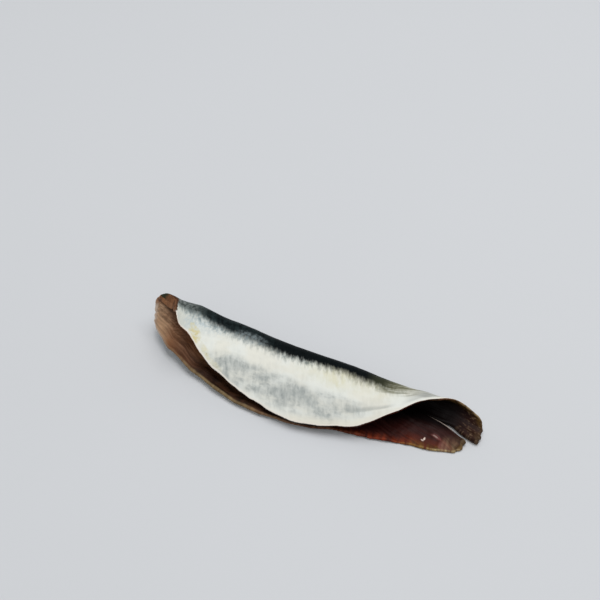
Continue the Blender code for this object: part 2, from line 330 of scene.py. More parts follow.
class Section:
    """The skin side across the fish at one share of its length, measured in w from the back line.

    w is above 0 on the upper fillet and below 0 on the lower one.
    """

    def __init__(self, u, form):
        self.u = u
        self.s = LENGTH * u
        nick = form.edge_nick / MM
        self.upper = smooth(UPPER_WIDTH, u) + EDGE_WAVE * (math.sin(38 * u) + 0.5 * math.sin(83 * u + 1))
        self.upper += nick * (wavy(0.45 * self.s, 1, 0) + 0.7 * wavy(1.7 * self.s, 2, 0))
        self.lower = smooth(LOWER_WIDTH, u) + EDGE_WAVE * (math.sin(33 * u + 2) + 0.5 * math.sin(77 * u))
        self.lower += nick * (wavy(0.45 * self.s, 3, 0) + wavy(1.5 * self.s, 4, 0))
        self.fold = smooth(FOLD_WIDTH, u)
        self.rise = smooth(FOLD_RISE, u)
        self.flesh = smooth(FLESH, u)
        # Pairs for the lower and the upper fillet.
        self.slants = smooth(LOWER_SLANT, u), smooth(UPPER_SLANT, u)
        self.reaches = smooth(LOWER_REACH, u), smooth(UPPER_REACH, u)
        self.slits = smooth(LOWER_SLIT, u), smooth(UPPER_SLIT, u)
        self.w = np.linspace(-self.lower - 1, self.upper + 1, 400)
        half = self.fold / 2
        lower_way = 180 + smooth(LOWER_SLOPE, u)
        upper_way = smooth(UPPER_SLOPE, u)
        way = lower_way + (upper_way - lower_way) * ramp((self.w - self.rise) / self.fold + 0.5)
        way -= smooth(UPPER_DROOP, u) * np.maximum(self.w - self.rise - half, 0)
        way += smooth(LOWER_DROOP, u) * np.maximum(self.rise - half - self.w, 0)
        self.dy = -np.cos(np.radians(way))
        self.dz = np.sin(np.radians(way))
        gap = np.diff(self.w)
        self.y = np.concatenate([[0], np.cumsum((self.dy[1:] + self.dy[:-1]) / 2 * gap)])
        self.z = np.concatenate([[0], np.cumsum((self.dz[1:] + self.dz[:-1]) / 2 * gap)])
        self.y += smooth(BACK_LINE, u) - np.interp(0, self.w, self.y)
        self.z += smooth(HEAD_LIFT, u) - SUNK - self.z.min()

    def along(self, w):
        """Position along the fish, with the slant of the head cut and the reach of the tail lobe."""
        side = int(w > 0)
        step = 0.5 * float(ramp(abs(w) / NAPE_STEP)) + 0.05 * abs(w)
        nick = TIP_NICK * math.sin(abs(w) * 2 + 1) * rise(self.u, 0.93, 1)
        fray = 0.25 * wavy(0.9 * w, 5, 0) * (rise(self.u, 0.95, 1) + rise(self.u, 0.05, 0))
        return LENGTH * (self.u - 0.5) + self.slants[side] * step + self.reaches[side] + nick + fray

    def crease(self, w):
        """Depth of the soft crease in the skin beside the upper belly edge."""
        part = rise(self.u, 0.5, 0.6) * rise(self.u, 0.84, 0.74)
        off = self.upper - w - CREASE_FROM_EDGE
        return CREASE_DEPTH * part * math.exp(-((off / CREASE_WIDTH) ** 2))

    def groove(self, w):
        """Depth of the narrow line with a lip near the belly edge, short of the tail."""
        part = rise(self.s, 74, 80) * rise(self.s, 94, 88) * rise(w, 0, 1)
        off = self.upper - w - GROOVE_FROM_EDGE + GROOVE_BOW * (self.s - GROOVE_TOP) ** 2
        lip = GROOVE_LIP * math.exp(-(((off + LIP_FROM_GROOVE) / LIP_WIDTH) ** 2))
        return part * (GROOVE_DEPTH * math.exp(-((off / GROOVE_WIDTH) ** 2)) - lip)

    def skin_relief(self, w, form):
        """Height of the dents and wrinkles of the skin."""
        dents = form.dent / MM * wavy(0.07 * self.s, 0.1 * w, 6)
        wrinkles = form.wrinkle / MM * wavy(0.06 * self.s, 0.55 * w, 7)
        wrinkles += 0.6 * form.wrinkle / MM * wavy(0.45 * self.s, 0.2 * w, 8)
        return dents + wrinkles - self.crease(w) - self.groove(w)

    def flesh_relief(self, w, form):
        """Height of the fibres and lumps of the flesh, none where the fillets lie on each other."""
        deep = form.fibre / MM
        bend = self.s + 3 * wavy(0.03 * self.s, 0.05 * w, 9)
        fibres = deep * wavy(0.09 * bend, 0.9 * w + 0.8 * wavy(0.1 * self.s, 0.1 * w, 10), 11)
        flakes = 0.8 * deep * abs(wavy(0.42 * (self.s + 0.5 * abs(w)), 0.05 * w, 12))
        lumps = 1.6 * deep * wavy(0.3 * self.s, 0.35 * w, 13)
        shown = rise(self.u, 0.4, 0.3) * rise(-w, 9, 14) + rise(self.u, 0.62, 0.7) + rise(self.u, 0.12, 0.06)
        return (fibres + flakes + lumps) * min(shown, 1.0)

    def at(self, w, *curves):
        """The value of each curve at w."""
        return [float(np.interp(w, self.w, curve)) for curve in curves]

    def skin(self, w, form):
        y, z = self.at(w, self.y, self.z)
        place = np.array([self.along(w), y, z]) - self.inward(w) * self.skin_relief(w, form)
        place[2] = max(place[2], 0.0)
        return place

    def inward(self, w):
        """Direction from the skin to the flesh side."""
        dy, dz = self.at(w, self.dy, self.dz)
        return np.array([0.0, -dz, dy]) / math.hypot(dy, dz)

    def thickness(self, w, form):
        share = abs(w) / (self.upper if w > 0 else self.lower)
        bend = float(ramp(1 - abs(w - self.rise) / (self.fold / 2)))
        lumps = math.sin(1.1 * w + 2 * math.sin(9 * self.u)) + math.sin(52 * self.u + 0.45 * w)
        deep = self.flesh * smooth(FLESH_SHARE, share) * (1 - FOLD_THINNING * bend)
        deep += LUMPS * lumps * (1 - bend)
        return deep + self.flesh_relief(w, form) * float(np.clip(share * 3, 0, 1))

    def cut(self, w):
        """Distance to the nearest cut edge."""
        outer = (self.upper if w > 0 else self.lower) - abs(w)
        ends = min(self.s + 0.001, LENGTH - self.s + 0.001)
        slit = abs(w) - self.slits[int(w > 0)] if self.u > SLIT_START else 99.0
        return max(min(outer, ends, slit), 0.0)


def flat_sheet(bm, form):
    """A flat grid whose X is the share of the length and whose Y is -1 and 1 at the two belly edges."""
    bmesh.ops.create_grid(bm, x_segments=form.columns, y_segments=2 * form.rows, size=1.0)
    for vert in bm.verts:
        even = (vert.co.x + 1) / 2
        vert.co.x = 0.5 * even + 0.5 * (0.5 - 0.5 * math.cos(math.pi * even))


def cut_slit(bm):
    """Parts the sheet along the back line behind the start of the slit."""
    start = min((v.co.x for v in bm.verts), key=lambda x: abs(x - SLIT_START))
    on_line = {v for v in bm.verts if abs(v.co.y) < 1e-6 and v.co.x > start - 1e-6}
    edges = [e for e in bm.edges if e.verts[0] in on_line and e.verts[1] in on_line]
    bmesh.ops.split_edges(bm, edges=edges)


def width_at(vert, section):
    """Distance from the back line for a corner of the flat sheet."""
    v = vert.co.y
    if abs(v) < 1e-6:
        sides = [f.calc_center_median().y for f in vert.link_faces]
        side = 1 if min(sides) > 0 else -1 if max(sides) < 0 else 0
    else:
        side = 1 if v > 0 else -1
    if side == 0:
        return 0.0
    outer = section.upper if side > 0 else section.lower
    inner = section.slits[int(side > 0)]
    return side * (inner + (outer - inner) * abs(v))


def bend_sheet(bm, form):
    """Moves the sheet to the skin side. Returns each corner's flesh side and the room for its rim."""
    number = bm.verts.layers.int.new("number")
    layers = {name: bm.verts.layers.float.new(name) for name in ("along", "across", "edge", "cut", "depth")}
    sections = {}
    skin, flesh, room = {}, {}, {}
    bm.verts.index_update()
    for vert in bm.verts:
        vert[number] = vert.index
        u = round(vert.co.x, 6)
        if u not in sections:
            sections[u] = Section(u, form)
        section = sections[u]
        w = width_at(vert, section)
        vert[layers["along"]] = section.s
        vert[layers["across"]] = w
        vert[layers["edge"]] = (section.upper if w > 0 else section.lower) - abs(w)
        vert[layers["cut"]] = section.cut(w)
        place = section.skin(w, form)
        skin[vert.index] = Vector(place)
        flesh[vert.index] = Vector(place + section.inward(w) * section.thickness(w, form))
        room[vert.index] = SLIT_ROOM * abs(w) if abs(vert.co.y) < 1e-6 else math.inf
    for vert in bm.verts:
        vert.co = skin[vert[number]]
    return flesh, room


def rim_directions(rim, number):
    """Direction out of the sheet, in its own surface, at each corner of its rim."""
    out = {}
    for edge in rim:
        face = edge.link_faces[0]
        a, b = edge.verts
        side = (b.co - a.co).cross(face.normal).normalized()
        if side.dot(face.calc_center_median() - a.co) > 0:
            side = -side
        for vert in edge.verts:
            out[vert[number]] = out.get(vert[number], Vector()) + side
    return {key: side.normalized() for key, side in out.items()}


def thicken(bm, flesh, room):
    """Adds the flesh side, and a rounded rim from the skin side to it."""
    number = bm.verts.layers.int["number"]
    depth = bm.verts.layers.float["depth"]
    bm.normal_update()
    ring = [e for e in bm.edges if len(e.link_faces) == 1]
    outward = rim_directions(ring, number)
    start = {v[number]: v.co.copy() for e in ring for v in e.verts}
    inside = bmesh.ops.duplicate(bm, geom=list(bm.faces))["geom"]
    inner = {v[number]: v for v in inside if isinstance(v, bmesh.types.BMVert)}
    for key, vert in inner.items():
        vert.co = flesh[key]
        vert[depth] = 1.0
    for step in range(1, RIM_STEPS + 2):
        grown = bmesh.ops.extrude_edge_only(bm, edges=ring)["geom"]
        ring = [item for item in grown if isinstance(item, bmesh.types.BMEdge)]
        corners = {item for item in grown if isinstance(item, bmesh.types.BMVert)}
        turn = math.pi * step / (RIM_STEPS + 1)
        for vert in corners:
            key = vert[number]
            across = flesh[key] - start[key]
            bulge = min(RIM_ROUNDING * across.length / 2, room[key]) * math.sin(turn)
            vert.co = start[key] + across * (1 - math.cos(turn)) / 2 + outward[key] * bulge
            vert[depth] = step / (RIM_STEPS + 1)
    bmesh.ops.weld_verts(bm, targetmap={vert: inner[vert[number]] for vert in corners})


def put_in_frame(bm):
    """Scales to metres and puts the body where its solid lies."""
    for vert in bm.verts:
        place = (
            (vert.co.x - RAW_CENTRE[0]) * MM,
            (vert.co.y - RAW_CENTRE[1]) * MM,
            vert.co.z * MM,
        )
        vert.co = [min(max(p, low), high) for p, low, high in zip(place, CAD_LOW, CAD_HIGH)]


class Nodes:
    """Adds nodes to one tree and joins them. A value is a number, a colour or another node's output."""

    def __init__(self, tree):
        self.tree = tree

    def put(self, socket, value):
        if isinstance(value, bpy.types.NodeSocket):
            self.tree.links.new(value, socket)
        elif hasattr(value, "__len__") and len(value) == 3 and socket.type == "RGBA":
            socket.default_value = (*value, 1.0)
        else:
            socket.default_value = value

    def add(self, kind, values=None, **settings):
        node = self.tree.nodes.new(kind)
        for name, value in settings.items():
            setattr(node, name, value)
        for name, value in (values or {}).items():
            self.put(node.inputs[name], value)
        return node

    def group(self, tree, **values):
        node = self.add("ShaderNodeGroup", node_tree=tree)
        for name, value in values.items():
            self.put(node.inputs[name.replace("_", " ")], value)
        return node.outputs

    def math(self, operation, a, b=0.0, c=0.0):
        node = self.add("ShaderNodeMath", operation=operation)
        for i, value in enumerate((a, b, c)):
            self.put(node.inputs[i], value)
        return node.outputs[0]

    def plus(self, a, b):
        return self.math("ADD", a, b)

    def minus(self, a, b):
        return self.math("SUBTRACT", a, b)

    def over(self, a, b):
        return self.math("DIVIDE", a, b)

    def times(self, *values):
        product = values[0]
        for value in values[1:]:
            product = self.math("MULTIPLY", product, value)
        return product

    def most(self, a, b):
        return self.math("MAXIMUM", a, b)

    def line(self, value, slope, start):
        return self.math("MULTIPLY_ADD", value, slope, start)

    def inverse(self, value):
        return self.minus(1.0, value)

    def rise(self, value, start, end):
        """0 at start, 1 at end, with soft ends."""
        node = self.add("ShaderNodeMapRange", interpolation_type="SMOOTHSTEP")
        self.put(node.inputs["Value"], value)
        self.put(node.inputs["From Min"], start)
        self.put(node.inputs["From Max"], end)
        return node.outputs["Result"]

    def fade(self, value, start, end):
        """1 at start, 0 at end, with soft ends."""
        return self.inverse(self.rise(value, start, end))

    def mix(self, share, a, b, blend="MIX"):
        node = self.add("ShaderNodeMix", data_type="RGBA", blend_type=blend)
        self.put(node.inputs[0], share)
        self.put(node.inputs[6], a)
        self.put(node.inputs[7], b)
        return node.outputs[2]

    def tint(self, colour, tone, *shares):
        """The colour mixed with a tone, by the product of the shares."""
        return self.mix(self.times(*shares), colour, tone)

    def shaded(self, colour, shade):
        return self.mix(1.0, colour, self.vector(shade, shade, shade), blend="MULTIPLY")

    def tones(self, value, stops):
        """A colour for each value from 0 to 1, from a list of (value, colour)."""
        node = self.add("ShaderNodeValToRGB")
        node.color_ramp.interpolation = "EASE"
        for i, (at, colour) in enumerate(stops):
            stop = node.color_ramp.elements[i] if i < 2 else node.color_ramp.elements.new(at)
            stop.position = at
            stop.color = (*colour, 1.0)
        self.put(node.inputs["Fac"], value)
        return node.outputs["Color"]

    def level(self, value, stations, most):
        """A curve through stations of (share, level), for a value from 0 to 1."""
        return self.times(self.tones(value, [(at, (y / most,) * 3) for at, y in stations]), most)

    def mix_values(self, share, a, b):
        return self.line(share, self.minus(b, a), a)

    def vector(self, x, y, z=0.0):
        node = self.add("ShaderNodeCombineXYZ")
        for i, value in enumerate((x, y, z)):
            self.put(node.inputs[i], value)
        return node.outputs[0]

    def noise(self, place, scale=1.0, detail=3.0, rough=0.5, bend=0.0):
        node = self.add(
            "ShaderNodeTexNoise",
            {"Vector": place, "Scale": scale, "Detail": detail, "Roughness": rough, "Distortion": bend},
        )
        return node.outputs["Fac"]


class Effect(Nodes):
    """A node group that gives one value, from a place on the fish, a seed and some settings."""

    def __init__(self, name, **settings):
        super().__init__(bpy.data.node_groups.new(name, "ShaderNodeTree"))
        for label, value in {"Along": 0, "Across": 0, "Seed": 0, **settings}.items():
            self.socket(label.replace("_", " "), "INPUT").default_value = value
        self.socket("Value", "OUTPUT")
        self.start = self.tree.nodes.new("NodeGroupInput").outputs
        self.along, self.across = self["Along"], self["Across"]

    def socket(self, label, way):
        return self.tree.interface.new_socket(name=label, in_out=way, socket_type="NodeSocketFloat")

    def __getitem__(self, label):
        return self.start[label]

    def grain(self, x, y, **settings):
        return self.noise(self.vector(x, y, self["Seed"]), **settings)

    def give(self, value):
        self.put(self.tree.nodes.new("NodeGroupOutput").inputs["Value"], value)
        return self.tree


def place_group():
    """Where a point of the body lies: along and across the fish, and from its edges."""
    tree = bpy.data.node_groups.new("Place on the fish", "ShaderNodeTree")
    net = Nodes(tree)
    labels = ("Along", "Across", "Edge", "Cut", "Depth")
    for label in labels:
        tree.interface.new_socket(name=label, in_out="OUTPUT", socket_type="NodeSocketFloat")
    end = tree.nodes.new("NodeGroupOutput")
    for label in labels:
        node = net.add("ShaderNodeAttribute", attribute_name=label.lower())
        net.put(end.inputs[label], node.outputs["Fac"])
    return tree


def streak_group():
    """Streaks that run across the fish, from 0 to 1."""
    net = Effect("Streaks", Spacing=1, Length=8, Lean=0.2)
    x = net.over(net.plus(net.along, net.times(net.across, net["Lean"])), net["Spacing"])
    y = net.over(net.across, net["Length"])
    return net.give(net.rise(net.grain(x, y, scale=0.5, detail=2, rough=0.55, bend=0.3), 0.3, 0.7))


def border_group(streaks):
    """1 inside a border and 0 outside it, with a brushed, ragged edge."""
    net = Effect("Ragged border", Border=1, Softness=1, Raggedness=1, Spacing=1, Length=2)
    fine = net.group(
        streaks, Along=net.along, Across=net.across, Spacing=net["Spacing"], Length=net["Length"],
        Lean=BRUSH_LEAN, Seed=net["Seed"])["Value"]
    broad = net.grain(net.along, net.across, scale=0.16, detail=2)
    shift = net.plus(net.minus(fine, 0.5), net.minus(broad, 0.5))
    value = net.line(shift, net["Raggedness"], net.across)
    border, softness = net["Border"], net["Softness"]
    return net.give(net.fade(value, net.minus(border, softness), net.plus(border, softness)))


def mottle_group():
    """Blotches from 0 to 1, longer along the fish than across it when Stretch is above 1."""
    net = Effect("Mottling", Size=4, Stretch=1, Low=0.4, High=0.6)
    x = net.over(net.along, net.times(net["Size"], net["Stretch"]))
    y = net.over(net.across, net["Size"])
    return net.give(net.rise(net.grain(x, y, detail=4, rough=0.6), net["Low"], net["High"]))


def patch_group():
    """An oval patch with an uneven outline, 1 inside and 0 outside."""
    net = Effect("Patch", Centre_along=0, Centre_across=0, Half_length=5, Half_width=5, Raggedness=0.6)
    x = net.over(net.minus(net.along, net["Centre along"]), net["Half length"])
    y = net.over(net.minus(net.across, net["Centre across"]), net["Half width"])
    far = net.math("SQRT", net.plus(net.times(x, x), net.times(y, y)))
    uneven = net.line(net.minus(net.grain(x, y, scale=1.6), 0.5), net["Raggedness"], far)
    return net.give(net.fade(uneven, 0.5, 1.1))


def fibre_group():
    """Fibres that run along the fish, from 0 to 1."""
    net = Effect("Fibres", Spacing=0.8, Length=12, Bend=1)
    bend = net.grain(net.along, net.across, scale=0.09, detail=1)
    x = net.over(net.along, net["Length"])
    y = net.over(net.line(bend, net.times(net["Bend"], 6), net.across), net["Spacing"])
    return net.give(net.rise(net.grain(x, y, scale=0.6, rough=0.6), 0.25, 0.75))


def effects():
    """The node groups that the materials share."""
    streaks = streak_group()
    return {
        "place": place_group(),
        "streaks": streaks,
        "border": border_group(streaks),
        "mottle": mottle_group(),
        "patch": patch_group(),
        "fibres": fibre_group(),
    }


class Surface(Nodes):
    """The nodes of one material of the body, with the place of a point on the fish and the shared effects."""

    def __init__(self, name, shared):
        self.material = bpy.data.materials.new(name)
        self.material.use_nodes = True
        super().__init__(self.material.node_tree)
        self.shared = shared
        at = self.group(shared["place"])
        self.along, self.across, self.edge = at["Along"], at["Across"], at["Edge"]
        self.cut, self.depth = at["Cut"], at["Depth"]
        self.share = self.over(self.along, LENGTH)

    @cached_property
    def from_back(self):
        """Distance from the back line."""
        return self.math("ABSOLUTE", self.across)

    @cached_property
    def on_upper(self):
        """1 on the upper fillet and 0 on the lower one."""
        return self.rise(self.across, 0.0, 1.0)

    def zone(self, name):
        """1 in a zone along the fish and 0 outside it, with soft ends."""
        start, full, fading, end = ZONES[name]
        return self.times(self.rise(self.along, start, full), self.fade(self.along, fading, end))

    def effect(self, name, **values):
        """The result of a shared effect at this point, or at the values given."""
        place = {"Along": self.along, "Across": self.across}
        return self.group(self.shared[name], **place | values)["Value"]

    def mottle(self, size, seed, stretch=1.0, low=0.4, high=0.6):
        return self.effect("mottle", Size=size, Stretch=stretch, Low=low, High=high, Seed=seed)

    def streaks(self, spacing, length, seed, lean=BRUSH_LEAN):
        return self.effect("streaks", Spacing=spacing, Length=length, Lean=lean, Seed=seed)

    def fibres(self, spacing, length, seed, **values):
        return self.effect("fibres", Spacing=spacing, Length=length, Seed=seed, **values)

    def patches(self, marks, **values):
        """The mask and the strength of each patch in a list of marks."""
        for along, across, length, width, strength, seed in marks:
            yield self.effect(
                "patch", Centre_along=along, Centre_across=across, Half_length=length, Half_width=width,
                Seed=seed, **values), strength

    def crumbs(self):
        """Crumbly marks of the cut at the nape."""
        return self.mottle(1.2, seed=16.0, low=0.35)

    def to_shader(self, colour, rough, height, shine, relief, step):
        """Joins the colour, roughness and bump to the shader."""
        shader = self.tree.nodes["Principled BSDF"]
        self.put(shader.inputs["Base Color"], colour)
        self.put(shader.inputs["Roughness"], rough)
        shader.inputs["Specular IOR Level"].default_value = shine
        bump = self.add("ShaderNodeBump", {"Strength": relief, "Distance": step, "Height": height})
        self.put(shader.inputs["Normal"], bump.outputs["Normal"])
        return self.material


def silver_side(net, look, strokes, fine):
    """Silver of the side, greyer where scales were rubbed at the belly, with cream and blue-grey tints."""
    side = net.tones(net.share, [
        (0, look.head_silver), (0.07, look.head_silver), (0.15, look.silver), (1, look.silver)])
    side = net.tint(side, look.warm_silver, net.mottle(8, seed=1, stretch=1.5), 0.45)
    tail = net.times(net.rise(net.along, *TAIL_START), net.rise(net.edge, 0.8, 3.4))
    drawn = net.fibres(1.1, 7, seed=1.5)
    side = net.tint(side, look.tail_silver, tail, net.line(drawn, 0.5, 0.6))

    patches = net.mottle(5, seed=3.5, stretch=1.8, low=0.38)
    lower = net.line(net.along, 0.06, 26.5)
    below = net.fade(net.across, lower, net.plus(lower, 6.5))
    belly = net.times(net.zone("belly"), net.rise(net.across, *BELLY_START), below)
    belly = net.times(belly, net.line(patches, 0.6, 0.4))
    for spot, strength in net.patches(WORN):
        belly = net.most(belly, net.times(spot, strength))
    side = net.tint(side, look.cool_silver, belly, 0.9)
    side = net.tint(side, look.scale_grey_and_shade, belly, strokes, net.line(fine, 0.5, 0.5), 0.8)
    side = net.tint(side, look.scale_grey_and_shade, strokes, patches, net.fade(net.edge, 18, 26), 0.12)

    creamy = net.times(net.zone("cream"), net.fade(net.from_back, 15, 22))
    side = net.tint(side, look.cream, creamy, net.line(strokes, 0.25, 0.15))
    haze = net.times(net.zone("haze"), net.fade(net.from_back, 12, 17))
    side = net.tint(side, look.haze, haze, net.line(fine, 0.6, 0.15))
    for warm, strength in net.patches(WARM):
        side = net.tint(side, look.cream, warm, net.line(strokes, 0.7, 0.1), strength)
    return side


def edge_marks(net, look, side):
    """Painted shade along the line of the groove, and a warmer hem along the belly edge."""
    # Painted shade: grey along the groove, where the crease's shadow falls.
    bow = net.minus(net.along, GROOVE_TOP)
    off = net.minus(net.edge, net.plus(net.times(bow, bow, -GROOVE_BOW), GROOVE_FROM_EDGE))
    near = net.fade(net.math("ABSOLUTE", off), 0.1, 1.5)
    side = net.tint(side, look.scale_grey_and_shade, net.zone("groove"), near, net.on_upper, 0.4)
    hem = net.times(net.fade(net.edge, 1, 3.6), net.on_upper, net.zone("hem"))
    return net.tint(side, look.warm_silver, hem, 0.55)


def dark_back(net, look, side, fine):
    """Blue-black back over the side: brushed border, painted sheen near the head, olive strands to the tail.
    """
    border = net.level(net.share, BAND_BORDER, BAND_MOST)
    toothed = net.zone("teeth")
    soft = net.line(toothed, -0.4, 1.6)
    ragged = net.line(toothed, 0.5, 0.9)
    back = net.effect(
        "border", Across=net.from_back, Border=border, Softness=soft, Raggedness=ragged, Spacing=0.5,
        Length=1.6, Seed=4)
    halo = net.effect(
        "border", Across=net.from_back, Border=net.plus(border, 1.3), Softness=net.plus(soft, 0.5),
        Raggedness=net.plus(ragged, 0.9), Spacing=0.55, Length=2, Seed=5)
    toned = net.mix(net.rise(net.along, *OLIVE_START), look.back_edge_and_sheen, look.olive)
    colour = net.tint(side, toned, halo, net.line(fine, 0.35, 0.45), net.fade(net.along, 86, 102))

    deep = net.tones(net.share, [
        (0, look.nape), (0.07, look.nape), (0.16, look.back), (0.66, look.back), (0.71, look.olive_back),
        (0.81, look.olive), (1, look.olive)])
    deep = net.tint(deep, look.cool_silver, fine, net.fade(net.along, 6, 17), 0.4)
    # Painted sheen: blue-grey streaks on the dark back, strongest towards the head.
    sheen = net.line(net.streaks(0.8, 9, seed=6), 0.5, net.times(fine, 0.5))
    deep = net.tint(deep, look.back_edge_and_sheen, net.line(net.fade(net.along, 34, 50), 0.2, 0.03), sheen)

    strands = net.fibres(0.9, 9, seed=6.5)
    streaky = net.times(net.rise(strands, 0.35, 0.75), net.zone("strands"))
    colour = net.tint(colour, look.olive, streaky, net.fade(net.from_back, 14, 17), 0.8)
    bare = net.times(net.rise(net.along, 84, 90), net.inverse(strands))
    return net.tint(colour, deep, back, net.fade(net.along, 90, 101), net.line(bare, -0.6, 1))


def skin_marks(net, look, colour, fine):
    """Blue-grey patches under the border, and smoke-yellow stains with dark dots."""
    for blue, strength in net.patches(BLUE):
        colour = net.tint(colour, look.blue_grey, blue, net.line(fine, 0.7, 0.1), strength)
    speck = net.mottle(2.2, seed=14, low=0.38)
    dots = net.mottle(1.1, seed=15, low=0.6, high=0.68)
    for stain, strength in net.patches(STAINS, Across=net.edge, Raggedness=1.1):
        stain = net.times(stain, net.on_upper, net.line(speck, 0.75, 0.25))
        colour = net.tint(colour, look.yellow, stain, strength)
        colour = net.tint(colour, look.stain_dot, stain, dots, 0.6)
    return colour


def skin_material(look, shared):
    """Silver side, blue-black back, stains, and flesh bared at the nape."""
    net = Surface("fish_skin", shared)
    strokes = net.streaks(0.9, 2.4, seed=2)
    fine = net.mottle(1.6, seed=3, stretch=0.7, low=0.36, high=0.68)
    side = edge_marks(net, look, silver_side(net, look, strokes, fine))
    colour = skin_marks(net, look, dark_back(net, look, side, fine), fine)

    rim = net.most(net.fade(net.cut, 0.05, 0.4), net.rise(net.depth, 0.02, 0.2))
    colour = net.tint(colour, look.rim, rim, 0.8)
    crumbs = net.crumbs()
    from_head = net.line(crumbs, -0.9, net.along)
    bared = net.tint(look.singed_and_shade, look.cut_flesh, crumbs, 0.7)
    # Painted shade: the bared flesh darkens away from the head cut, as the shadow line where it meets the
    # silver.
    bared = net.tint(bared, look.singed_and_shade, net.rise(from_head, 0.3, 1.6))
    nape = net.times(net.fade(from_head, 1.9, 2.5), net.fade(net.from_back, 9, 11))
    colour = net.tint(colour, bared, nape)
    for spot, strength in net.patches(NAPE_SPOT):
        colour = net.tint(colour, look.olive_back, spot, strength)

    height = net.line(strokes, 0.5, net.fibres(1.4, 16, seed=6))
    height = net.line(nape, net.times(crumbs, 4), height)
    rough = net.line(fine, SKIN_GRAIN, look.roughness - SKIN_GRAIN / 2)
    return net.to_shader(colour, rough, height, shine=0.04, relief=0.3, step=0.0001)


def head_flesh(net, look, colour, fibres, coarse):
    """Strands, shreds and dark hollows near the head, a painted shadow band and painted light by the skin
    edge.
    """
    colour = net.tint(colour, look.wine, net.zone("wine"), net.inverse(coarse), 0.25)
    colour = net.tint(colour, look.strand, fibres, coarse, net.fade(net.along, 14, 30), 0.45)
    shreds = net.mottle(0.9, seed=27, stretch=2.2, low=0.42, high=0.58)
    inner = net.times(net.fade(net.along, 8, 18), net.rise(net.edge, 3.5, 6.5))
    colour = net.tint(colour, look.strand, inner, shreds, 0.35)
    colour = net.tint(colour, look.singed_and_shade, inner, net.inverse(shreds), 0.4)
    # Painted shadow: a dark band along the upper fillet's skin edge near the head.
    colour = net.tint(colour, look.singed_and_shade, net.rise(net.edge, 6.6, 8.4), net.zone("by the skin"), 0.6)
    # Painted light: the flesh beside the skin edge is lightened to offset the shadow that the raised skin
    # casts there.
    return net.tint(colour, look.chestnut, net.rise(net.edge, 3, 7.5), net.zone("lit"), 0.85)


def tail_flesh(net, look, colour, coarse, upper, nicks):
    """Painted shade: near-black in the fold and on the upper lobe's flesh side. Also the red and pink of the
    lower lobe, the pink partly painted highlights, and crusts and flecks near the tips, partly painted
    glints.
    """
    lower = net.inverse(upper)
    # Painted shade: the fold and the upper lobe's flesh side are darkened to near-black, where shadow falls.
    fold = net.times(net.rise(net.edge, 5, 11), net.zone("fold"))
    colour = net.tint(colour, look.dark, net.most(fold, net.times(upper, net.zone("upper lobe"))))
    red = net.times(lower, net.fade(net.edge, 1.5, 5.5), net.zone("red"))
    colour = net.tint(colour, look.amber, red, net.line(coarse, 0.25, 0.05))

    thin = net.times(net.fade(net.edge, 0.4, 2.6), net.rise(net.along, 66, 84))
    thin_tone = net.tones(net.share, [
        (0.6, look.amber), (0.84, look.amber), (0.88, look.moss), (1, look.moss)])
    colour = net.tint(colour, thin_tone, thin, net.line(nicks, 0.8, 0.1), 0.8)
    # Pink patches, partly pink flesh and partly painted highlights.
    for blush_and_highlight, strength in net.patches(BLUSHES_AND_HIGHLIGHTS):
        colour = net.tint(colour, look.blush_and_highlight, blush_and_highlight, net.line(nicks, 0.5, 0.3), strength)
    sandy = net.times(lower, net.fade(net.edge, 2, 6), net.zone("sandy"))
    colour = net.tint(colour, look.crust, sandy, net.line(nicks, 0.5, 0.15))
    speck = net.mottle(1.1, seed=13, low=0.52, high=0.66)
    colour = net.tint(colour, look.crust, speck, upper, net.rise(net.along, 110, 113.5), 0.55)
    # Flecks of fat, partly painted glints.
    for fleck_and_glint, strength in net.patches(FLECKS_AND_GLINTS, Raggedness=0.8):
        colour = net.tint(colour, look.fleck_and_glint, fleck_and_glint, strength)
    return colour


def cut_edges(net, look, colour, upper, nicks):
    """Cut edges of the flesh, mostly paler: along the belly, at both ends and beside the slit of the tail.
    The upper rim's near-black middle is painted shade.
    """
    lower_rim = net.tones(net.share, [
        (0, look.pale_rim), (0.1, look.sand_rim), (0.2, look.olive_rim), (0.35, look.olive_rim),
        (0.45, look.brown_rim), (0.6, look.umber), (0.8, look.amber), (0.88, look.gold_rim),
        (0.96, look.cream_rim), (1, look.olive_rim)])
    # The near-black middle of the upper rim is painted shade, where that cut edge faces into the fold.
    upper_rim = net.tones(net.share, [
        (0, look.chestnut), (0.1, look.umber), (0.25, look.brown), (0.55, look.dark), (0.86, look.dark),
        (0.91, look.umber), (0.96, look.olive_rim), (1, look.olive_rim)])
    wide = net.line(net.zone("wide rim"), 0.25, 0.45)
    broken = net.mix_values(net.rise(net.along, 60, 90), net.line(nicks, 0.5, 0.45), nicks)
    belly_rim = net.times(net.fade(net.edge, 0, wide), broken)
    tail_rim = net.times(net.rise(net.along, 116.2, 116.9), net.line(upper, -0.2, 0.3))
    end_rim = net.times(net.most(net.fade(net.along, 0.1, 1.4), tail_rim), 0.8)
    colour = net.tint(colour, net.mix(upper, lower_rim, upper_rim), net.most(belly_rim, end_rim))
    beside = net.times(net.fade(net.across, 0, 0.2), net.rise(net.across, -2.4, -1.6))
    return net.tint(colour, look.fleck_and_glint, net.fade(net.cut, 0, 0.4), beside, net.zone("slit"), 0.7)


